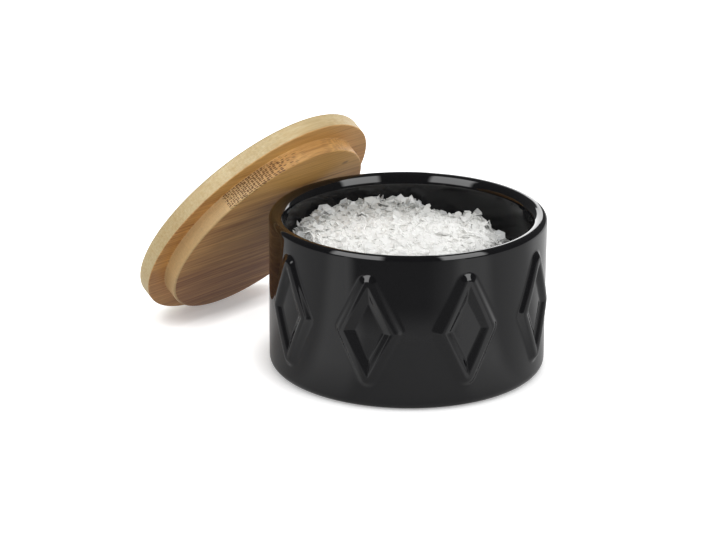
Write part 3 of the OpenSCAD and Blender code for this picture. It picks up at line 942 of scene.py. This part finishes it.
salt_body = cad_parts["salt"].data.copy()
salt_body.materials.clear()
joined = bmesh.new()
joined.from_mesh(salt_body)
bmesh.ops.remove_doubles(joined, verts=joined.verts, dist=MERGE_WITHIN)
joined.to_mesh(salt_body)
joined.free()
heap = bpy.data.objects.new("salt_heap", salt_body)
bpy.context.scene.collection.objects.link(heap)
flakes = heap.copy()
flakes.name = "salt_flakes"
bpy.context.scene.collection.objects.link(flakes)
run_tree(heap, make_crumble_tree(), HEAP_SIZES)
print(f"heap: {len(salt_body.polygons)} facets in the solid, {len(heap.data.polygons)} faces now")

# %% [markdown]
# ## Flakes, scattered by rule
# Thousands of plates lie on the heap, each a little different, so they are scattered by a tree with a fixed
# seed. One plate is a flat, six-sided disc, and every copy gets its own size, proportion and lean. In the
# middle of the heap the plates are small and lie flat, near its edge some are large and stick out, and one in
# a hundred is a needle that stands up. Noise then bends and nicks all of them at once, and the highest points
# are held under the closed lid's plug.

# %% One plate of salt
PLATE_CORNERS = 6
PLATE_MERGE = 0.001


def make_plate(tree):
    """Nodes for one closed plate, one wide and one thick."""
    disc = add_node(tree, "GeometryNodeMeshCircle", fill_type="NGON", inputs={
        "Vertices": PLATE_CORNERS, "Radius": 0.5})
    plate = add_node(tree, "GeometryNodeExtrudeMesh", disc, inputs={"Offset Scale": 1.0, "Individual": False})
    underside = add_node(tree, "GeometryNodeFlipFaces", disc)
    closed = add_node(tree, "GeometryNodeJoinGeometry")
    tree.links.new(plate.outputs["Mesh"], closed.inputs[0])
    tree.links.new(underside.outputs[0], closed.inputs[0])
    return add_node(tree, "GeometryNodeMergeByDistance", closed, inputs={"Distance": PLATE_MERGE})


print(f"helper: make_plate, with {PLATE_CORNERS} corners")

# %% Sizes and lean of the plates
FLAKE_SIZES = {
    "Density": 600000.0,
    "Facing up from": 0.3,
    "Smallest": 0.8 * MM,
    "Largest": 4.2 * MM,
    "Largest at the edge": 8.0 * MM,
    "Small share power": 3.0,
    "Narrowest": 0.35,
    "Edge from": 27 * MM,
    "Edge to": 42 * MM,
    "Thickness": 0.25 * MM,
    "Ragged": 0.45 * MM,
    "Nicks per metre": 900.0,
    "Clear from": 0.22,
    "Lean in the middle": 0.35,
    "Needle share": 0.01,
    "Needle width": 0.8 * MM,
    "Needle length": 5.5 * MM,
    "Ceiling": HEAP_SIZES["Ceiling"],
    "Wall": HEAP_SIZES["Wall"],
    "Seed": 3,
}
NARROW_SEED = 11
LEAN_SEED = 23
LEANS = ((-1.0, -1.0, -math.pi), (1.0, 1.0, math.pi))
UPRIGHT_SEED = 29
UPRIGHTS = ((1.1, -0.5, -math.pi), (1.6, 0.5, math.pi))


def plate_scale(tree, size, skewed, at_edge):
    """Nodes for the size of each plate: most are small and a few are large, and larger at the edge."""
    largest = add_node(tree, MIX, data_type="FLOAT", inputs={
        "Factor": at_edge, VALUE_A: size["Largest"], VALUE_B: size["Largest at the edge"]})
    spread = add_node(tree, MATH, largest, size["Smallest"], operation="SUBTRACT")
    width = add_node(tree, MATH, skewed, spread, size["Smallest"], operation="MULTIPLY_ADD")
    narrow = add_node(tree, RANDOM, data_type="FLOAT", inputs={
        VALUE_A: size["Narrowest"], VALUE_B: 1.0, "Seed": NARROW_SEED}).outputs[RANDOM_VALUE_OUT]
    depth = add_node(tree, MATH, width, narrow, operation="MULTIPLY")
    return add_node(tree, "ShaderNodeCombineXYZ", width, depth, size["Thickness"])


def plate_lean(tree, size, at_edge):
    """Nodes for the lean of each plate: any heading, and a tilt that is smaller in the middle of the heap."""
    lean = add_node(tree, RANDOM, *LEANS, data_type="FLOAT_VECTOR", inputs={"Seed": LEAN_SEED})
    lean_share = add_node(tree, MIX, data_type="FLOAT", inputs={
        "Factor": at_edge, VALUE_A: size["Lean in the middle"], VALUE_B: 1.0})
    around = add_node(tree, "ShaderNodeSeparateXYZ", lean).outputs
    lean_x = add_node(tree, MATH, around["X"], lean_share, operation="MULTIPLY")
    lean_y = add_node(tree, MATH, around["Y"], lean_share, operation="MULTIPLY")
    return add_node(tree, "ShaderNodeCombineXYZ", lean_x, lean_y, around["Z"])


print("helpers: plate_scale, plate_lean")

# %% The tree that scatters flakes
NEEDLE_SEED = 31
CLEAR_SEED = 37


def make_flake_tree():
    """A tree that covers the top of a heap with thin plates of many sizes."""
    tree, size = start_tree("scatter salt flakes", FLAKE_SIZES)
    normal = add_node(tree, "GeometryNodeInputNormal")
    upward = add_node(tree, "ShaderNodeSeparateXYZ", normal).outputs["Z"]
    on_top = add_node(tree, MATH, upward, size["Facing up from"], operation="GREATER_THAN")
    points = add_node(tree, "GeometryNodeDistributePointsOnFaces", size["Geometry"], inputs={
        "Selection": on_top, "Density": size["Density"], "Seed": size["Seed"]})

    # a chance for each plate, skewed towards small ones, and how near the heap's edge the plate lies
    chance = add_node(tree, RANDOM, data_type="FLOAT", inputs={"Seed": size["Seed"]}).outputs[RANDOM_VALUE_OUT]
    skewed = add_node(tree, MATH, chance, size["Small share power"], operation="POWER")
    place = add_node(tree, "GeometryNodeInputPosition")
    flat = add_node(tree, VECTOR_MATH, place, (1.0, 1.0, 0.0), operation="MULTIPLY")
    reach = add_node(tree, VECTOR_MATH, flat, operation="LENGTH").outputs["Value"]
    at_edge = add_node(tree, MAP_RANGE, interpolation_type="SMOOTHSTEP", inputs={
        "Value": reach, "From Min": size["Edge from"], "From Max": size["Edge to"]})

    # a few plates are needles, and stand up
    chance = add_node(tree, RANDOM, data_type="FLOAT", inputs={"Seed": NEEDLE_SEED}).outputs[RANDOM_VALUE_OUT]
    is_needle = add_node(tree, MATH, chance, size["Needle share"], operation="LESS_THAN")
    needle_scale = add_node(
        tree, "ShaderNodeCombineXYZ", size["Needle width"], size["Needle length"], size["Thickness"])
    upright = add_node(tree, RANDOM, *UPRIGHTS, data_type="FLOAT_VECTOR", inputs={"Seed": UPRIGHT_SEED})
    scale = add_node(tree, MIX, data_type="VECTOR", inputs={
        "Factor": is_needle, VECTOR_A: plate_scale(tree, size, skewed, at_edge), VECTOR_B: needle_scale})
    lean = add_node(tree, MIX, data_type="VECTOR", inputs={
        "Factor": is_needle, VECTOR_A: plate_lean(tree, size, at_edge), VECTOR_B: upright})
    turned = add_node(tree, "FunctionNodeRotateRotation", points.outputs["Rotation"],
                      lean.outputs[VECTOR_OUT], rotation_space="LOCAL")
    copies = add_node(tree, "GeometryNodeInstanceOnPoints", points.outputs["Points"], inputs={
        "Instance": make_plate(tree), "Rotation": turned, "Scale": scale.outputs[VECTOR_OUT]})

    # large plates near the edge may be clear: each copy carries its chance of that
    clear = add_node(tree, RANDOM, data_type="FLOAT", inputs={"Seed": CLEAR_SEED}).outputs[RANDOM_VALUE_OUT]
    clear = add_node(tree, MATH, clear, skewed, operation="MULTIPLY")
    clear = add_node(tree, MATH, clear, at_edge, operation="MULTIPLY")
    told = add_node(tree, "GeometryNodeStoreNamedAttribute", copies, domain="INSTANCE", inputs={
        "Name": "clear chance", "Value": clear})
    real = add_node(tree, "GeometryNodeRealizeInstances", told)

    # ragged edges, the limits of the wall and of the closed lid, and the two materials
    position = add_node(tree, "GeometryNodeInputPosition")
    noise = add_node(tree, NOISE, position, inputs={"Scale": size["Nicks per metre"], "Detail": 1.0})
    jolt = add_node(tree, VECTOR_MATH, noise.outputs["Color"], (-0.5, -0.5, -0.5), operation="ADD")
    jolt = add_node(tree, VECTOR_MATH, jolt, inputs={"Scale": size["Ragged"]}, operation="SCALE")
    nicked = add_node(tree, "GeometryNodeSetPosition", real, inputs={"Offset": jolt})
    held = hold_inside(tree, size, nicked)
    dressed = add_node(tree, "GeometryNodeSetMaterial", held, inputs={"Material": white_salt})
    chance = add_node(tree, "GeometryNodeInputNamedAttribute", "clear chance", data_type="FLOAT")
    is_clear = add_node(tree, MATH, chance, size["Clear from"], operation="GREATER_THAN")
    mixed = add_node(tree, "GeometryNodeSetMaterial", dressed, inputs={
        "Selection": is_clear, "Material": clear_salt})
    add_node(tree, "NodeGroupOutput", mixed)
    return tree


run_tree(flakes, make_flake_tree(), FLAKE_SIZES)
for piece in (heap, flakes):
    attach(piece, "pot")
    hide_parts("salt")
print(f"flakes: {len(flakes.data.polygons)} faces")

# %% [markdown]
# ## The studio
# The picture has a white ground and soft, even light. More light on the object would whiten the ground but
# bleach the colours, so the lamps stay at a level where colours render as written, and the floor glows for
# the camera instead. Within a centimetre of whatever stands on it, ambient occlusion dims that glow: a painted
# contact shadow over the real one. In the glaze the floor is nearly dark, with a painted pool of light in front
# of each softbox and beside the pot's back. The world is white for the camera, nearly dark in the glaze and a
# grey fill for the rest.

# %% Helpers for the studio
def faded(tree, strength, edges):
    """Nodes that fade a strength: with each (value, start, end) it grows from start to end."""
    for value, start, end in edges:
        fade = add_node(tree, MAP_RANGE, interpolation_type="SMOOTHSTEP", inputs={
            "Value": value, "From Min": start, "From Max": end})
        strength = add_node(tree, MATH, strength, fade, operation="MULTIPLY")
    return strength


def turn_and_height(tree):
    """Nodes for how far a point is turned off the front, in degrees, and for its height."""
    place = add_node(tree, "ShaderNodeTexCoord").outputs["Object"]
    xyz = add_node(tree, "ShaderNodeSeparateXYZ", place).outputs
    return add_node(tree, MATH, angle_off_front(tree, xyz), operation="DEGREES"), xyz["Z"]


print("helpers: faded, turn_and_height")

# %% Painted pools of light on the floor
POOL_TURNS = ((26.0, 36.0), (66.0, 54.0))
POOL_IN_GLAZE = 0.4
BACK_POOL_TURNS = ((96.0, 114.0), (166.0, 150.0))
BACK_POOL_IN_GLAZE = 0.3


def painted_light_pools(tree, turn):
    """Nodes for painted pools of light on the table, in front of each softbox and beside the pot's back."""
    off = add_node(tree, MATH, turn, operation="ABSOLUTE")
    in_front = faded(tree, POOL_IN_GLAZE, [(off, *turns) for turns in POOL_TURNS])
    behind = faded(tree, BACK_POOL_IN_GLAZE, [(off, *turns) for turns in BACK_POOL_TURNS])
    return add_node(tree, MATH, in_front, behind, operation="ADD")


print(f"pools: {POOL_IN_GLAZE} in front and {BACK_POOL_IN_GLAZE} behind")

# %% The floor
FLOOR_R = 6.0
FLOOR_TINT = "#eeeeee"
FLOOR_TINT_IN_GLAZE = "#b4b4b4"
FLOOR_WHITE = 0.84
FLOOR_IN_GLAZE = 0.12
POOL_FADE = 38 * MM
POOL_NEAR_SHARE = 0.1
# painted contact shadow: how close, how open and how dark
CONTACT_W = 12 * MM
CONTACT_SAMPLES = 16
CONTACT_OPEN = (0.45, 0.97)
CONTACT_SHADOW_SHARE = 0.35


def make_floor():
    """A pale floor that is white where it is open; its matte part keeps the real shadow, and its glow has a
    painted contact shadow and painted pools of light.
    """
    material, tree = start_material("white studio floor")
    ray = add_node(tree, "ShaderNodeLightPath").outputs
    mirrored = add_node(tree, MATH, ray["Is Glossy Ray"], ray["Is Transmission Ray"], operation="MAXIMUM")
    place = add_node(tree, "ShaderNodeTexCoord").outputs["Object"]
    reach = add_node(tree, VECTOR_MATH, place, operation="LENGTH").outputs["Value"]
    # painted shade in the glaze: the painted pools dim close to the pot's foot
    from_foot = add_node(tree, MAP_RANGE, inputs={
        "Value": reach, "From Min": POT_R, "From Max": POT_R + POOL_FADE, "To Min": POOL_NEAR_SHARE})
    turn, _ = turn_and_height(tree)
    pools = add_node(tree, MATH, painted_light_pools(tree, turn), from_foot, operation="MULTIPLY")
    in_glaze = add_node(tree, MATH, pools, FLOOR_IN_GLAZE, operation="ADD")
    in_glaze = add_node(tree, MATH, mirrored, in_glaze, operation="MULTIPLY")
    # painted contact shadow: ambient occlusion dims the floor's glow close to whatever stands on it
    open_sky = add_node(tree, "ShaderNodeAmbientOcclusion", samples=CONTACT_SAMPLES, inputs={
        "Distance": CONTACT_W})
    white = add_node(tree, MAP_RANGE, inputs={
        "Value": open_sky.outputs["AO"], "From Min": CONTACT_OPEN[0], "From Max": CONTACT_OPEN[1],
        "To Min": FLOOR_WHITE * CONTACT_SHADOW_SHARE, "To Max": FLOOR_WHITE})
    white = add_node(tree, MATH, ray["Is Camera Ray"], white, in_glaze, operation="MULTIPLY_ADD")
    glow = add_node(tree, "ShaderNodeEmission", inputs={"Strength": white})
    shade = add_node(tree, MIX, data_type="RGBA", inputs={
        "Factor": ray["Is Glossy Ray"], COLOUR_A: colour(FLOOR_TINT), COLOUR_B: colour(FLOOR_TINT_IN_GLAZE)})
    matte = add_node(tree, "ShaderNodeBsdfDiffuse", shade.outputs[COLOUR_OUT])
    both = add_node(tree, "ShaderNodeAddShader", matte, glow)
    add_node(tree, "ShaderNodeOutputMaterial", both)
    return material


floor_mesh = bpy.data.meshes.new("floor")
floor_corners = [(x * FLOOR_R, y * FLOOR_R, 0) for x, y in ((-1, -1), (1, -1), (1, 1), (-1, 1))]
floor_mesh.from_pydata(floor_corners, [], [(0, 1, 2, 3)])
floor = bpy.data.objects.new("floor", floor_mesh)
floor.data.materials.append(make_floor())
bpy.context.scene.collection.objects.link(floor)
print(f"floor: {2 * FLOOR_R:.0f} m wide")

# %% The world
WORLD_FILL = 0.48
WORLD_IN_GLAZE = 0.1
HORIZON_IN_GLAZE = 0.25
HORIZON_H = 0.1

world = bpy.data.worlds.new("studio")
world.use_nodes = True
world.node_tree.nodes.clear()
world_tree = world.node_tree
ray = add_node(world_tree, "ShaderNodeLightPath").outputs
direction = add_node(world_tree, "ShaderNodeTexCoord").outputs["Generated"]
height = add_node(world_tree, "ShaderNodeSeparateXYZ", direction).outputs["Z"]
sweep = add_node(world_tree, MAP_RANGE, interpolation_type="SMOOTHSTEP", inputs={
    "Value": height, "From Max": HORIZON_H, "To Min": HORIZON_IN_GLAZE, "To Max": WORLD_IN_GLAZE})
mirrored = add_node(world_tree, MATH, ray["Is Glossy Ray"], ray["Is Transmission Ray"], operation="MAXIMUM")
fill = add_node(world_tree, MIX, data_type="RGBA", inputs={
    "Factor": mirrored, COLOUR_A: (WORLD_FILL, WORLD_FILL, WORLD_FILL, 1.0), COLOUR_B: sweep})
white = add_node(world_tree, MIX, data_type="RGBA", inputs={
    "Factor": ray["Is Camera Ray"], COLOUR_A: fill.outputs[COLOUR_OUT], COLOUR_B: (1.0, 1.0, 1.0, 1.0)})
background = add_node(world_tree, "ShaderNodeBackground", white.outputs[COLOUR_OUT])
add_node(world_tree, "ShaderNodeOutputWorld", background)
bpy.context.scene.world = world
print("world: white to the camera, nearly dark to the glaze, a grey fill to the rest")

# %% [markdown]
# ## Lamps, and what the glaze mirrors
# Three softboxes light the pot, from the left, the right and behind. Black gloss shows only what it mirrors,
# so the bright patches on its rim are made on purpose. A patch is given by the tilts and turns of the rim's
# surface between which it lies, and the camera's line of sight, mirrored there, says where a bright face has
# to hang. A black card in front, no higher than the wall needs, keeps the middle of the wall black. A white
# card behind gives the bright crescent at the right end of the rim. The camera sees none of these pieces.

# %% Hang the softboxes
SOFTBOX_AWAY = 0.8
SOFTBOX_W = 0.7
SOFTBOX_H = 1.2
SOFTBOXES = {"left": (-68, 24, 0.85), "right": (50, 42, 1.35), "back": (130, 40, 0.55)}


def softbox_place(azimuth, rise):
    """Where a softbox hangs, facing the pot, from its turn off the front and its height in the sky."""
    towards = Vector((
        math.sin(azimuth) * math.cos(rise), -math.cos(azimuth) * math.cos(rise), math.sin(rise)))
    spot = Vector((0, 0, POT_H)) + SOFTBOX_AWAY * towards
    return Matrix.Translation(spot) @ towards.to_track_quat("Z", "Y").to_matrix().to_4x4()


for side, (azimuth, rise, radiance) in SOFTBOXES.items():
    light = bpy.data.lights.new(f"softbox_{side}", "AREA")
    light.shape = "RECTANGLE"
    light.size = SOFTBOX_W
    light.size_y = SOFTBOX_H
    light.energy = radiance * math.pi * SOFTBOX_W * SOFTBOX_H
    lamp = bpy.data.objects.new(f"softbox_{side}", light)
    lamp.matrix_world = softbox_place(math.radians(azimuth), math.radians(rise))
    lamp.visible_glossy = False
    bpy.context.scene.collection.objects.link(lamp)
    print(f"softbox {side}: {azimuth} degrees off the front, {rise} up, radiance {radiance}")

# %% Faces that the rim mirrors
FACE_TURNS = {"left": (-34.0, -9.0), "right": (12.0, 34.0)}
FACE_TILTS = (25.0, 72.0)
FACE_STEPS = 8
FACE_RADIANCE = 4.2
FACE_EDGE_SHARE = 0.14


def add_reflected(name, mesh, material):
    """Hang a piece that the glaze sees, and the camera, the shadows and the other surfaces don't."""
    piece = bpy.data.objects.new(name, mesh)
    piece.data.materials.append(material)
    bpy.context.scene.collection.objects.link(piece)
    piece.visible_camera = False
    piece.visible_diffuse = False
    piece.visible_shadow = False
    piece.visible_transmission = False
    return piece


def mirrored_from_rim(tilt, turn):
    """The direction that the camera sees in the rim, where its surface tilts and turns by these degrees."""
    tilt, turn = math.radians(tilt), math.radians(turn)
    normal = Vector((math.sin(tilt) * math.sin(turn), -math.sin(tilt) * math.cos(turn), math.cos(tilt)))
    return forward.reflect(normal)


def make_face_mesh(name, turns):
    """A softbox's face, with its edges where the rim's highlight says that they are."""
    row = FACE_STEPS + 1
    points = [Vector((0, 0, POT_H)) + SOFTBOX_AWAY * mirrored_from_rim(tilt, turn)
              for tilt in np.linspace(*FACE_TILTS, row) for turn in np.linspace(*turns, row)]
    mesh = bpy.data.meshes.new(name)
    mesh.from_pydata(points, [], [
        (k, k + 1, k + row + 1, k + row) for k in range(FACE_STEPS * row) if k % row < FACE_STEPS])
    shares = mesh.uv_layers.new(name="edge shares")
    for loop in mesh.loops:
        across, along = loop.vertex_index % row, loop.vertex_index // row
        shares.data[loop.index].uv = (across / FACE_STEPS, along / FACE_STEPS)
    return mesh


def make_face_glow():
    """The face of a softbox: even light that fades at its edges."""
    material, tree = start_material("softbox face")
    place = add_node(tree, "ShaderNodeUVMap", uv_map="edge shares")
    shares = add_node(tree, "ShaderNodeSeparateXYZ", place).outputs
    strength = faded(tree, FACE_RADIANCE, [
        (shares[axis], start, end) for axis in ("X", "Y")
        for start, end in ((0.0, FACE_EDGE_SHARE), (1.0, 1.0 - FACE_EDGE_SHARE))])
    glow = add_node(tree, "ShaderNodeEmission", inputs={"Strength": strength})
    add_node(tree, "ShaderNodeOutputMaterial", glow)
    return material


softbox_face = make_face_glow()
for side, turns in FACE_TURNS.items():
    face_name = f"softbox_face_{side}"
    add_reflected(face_name, make_face_mesh(face_name, turns), softbox_face)
print("faces for the rim's bright patches:", ", ".join(FACE_TURNS))

# %% The black card
CARD_AWAY = 118 * MM
CARD_H = 70 * MM
CARD_SPAN = (-42.0, 36.0)
CARD_FADES = (9.0, 27.0)
CARD_FOOT_FADE = 14 * MM
CARD_DARK = 0.2
CARD_PALE = 0.57
CARD_COLUMNS = 24


def make_card():
    """Black card with soft edges: pale at its sides and foot, dark in the middle."""
    material, tree = start_material("black card")
    turn, height = turn_and_height(tree)
    dark = faded(tree, 1.0, [
        (turn, CARD_SPAN[0], CARD_SPAN[0] + CARD_FADES[0]),
        (turn, CARD_SPAN[1], CARD_SPAN[1] - CARD_FADES[1]),
        (height, 0.0, CARD_FOOT_FADE)])
    # the card carries the painted pools of light too
    pale = add_node(tree, MATH, painted_light_pools(tree, turn), CARD_PALE, operation="ADD")
    strength = add_node(tree, MAP_RANGE, inputs={"Value": dark, "To Min": pale, "To Max": CARD_DARK})
    glow = add_node(tree, "ShaderNodeEmission", inputs={"Strength": strength})
    add_node(tree, "ShaderNodeOutputMaterial", glow)
    return material


card_mesh = bpy.data.meshes.new("black_card")
card_turns = np.radians(np.linspace(*CARD_SPAN, CARD_COLUMNS + 1))
card_row = CARD_COLUMNS + 1
card_mesh.from_pydata(
    [(CARD_AWAY * math.sin(a), -CARD_AWAY * math.cos(a), z) for z in (0, CARD_H) for a in card_turns], [],
    [(k, k + 1, k + card_row + 1, k + card_row) for k in range(CARD_COLUMNS)])
add_reflected("black_card", card_mesh, make_card())
print(f"black card: {CARD_H / MM:.0f} mm high, {CARD_AWAY / MM:.0f} mm from the pot's middle")

# %% The white card
WHITE_CARD_Y = 150 * MM
WHITE_CARD_X = (12 * MM, 74 * MM)
WHITE_CARD_Z = (60 * MM, 113 * MM)
WHITE_CARD_GLOW = 3.0


def make_even_glow():
    """A white card, brightly lit: it gives off even light."""
    material, tree = start_material("white card")
    glow = add_node(tree, "ShaderNodeEmission", inputs={"Strength": WHITE_CARD_GLOW})
    add_node(tree, "ShaderNodeOutputMaterial", glow)
    return material


(left_x, right_x), (low_z, high_z) = WHITE_CARD_X, WHITE_CARD_Z
white_corners = [(left_x, low_z), (right_x, low_z), (right_x, high_z), (left_x, high_z)]
white_mesh = bpy.data.meshes.new("white_card")
white_mesh.from_pydata([(x, WHITE_CARD_Y, z) for x, z in white_corners], [], [(0, 1, 2, 3)])
white_card = add_reflected("white_card", white_mesh, make_even_glow())
white_card.visible_diffuse = True
print(f"white card: {(right_x - left_x) / MM:.0f} mm wide, {WHITE_CARD_Y / MM:.0f} mm behind the pot's middle")

# %% [markdown]
# ## Finish
# The view transform is Standard, so that a colour is shown as it is written.

# %% Finish
bpy.context.scene.view_settings.view_transform = "Standard"
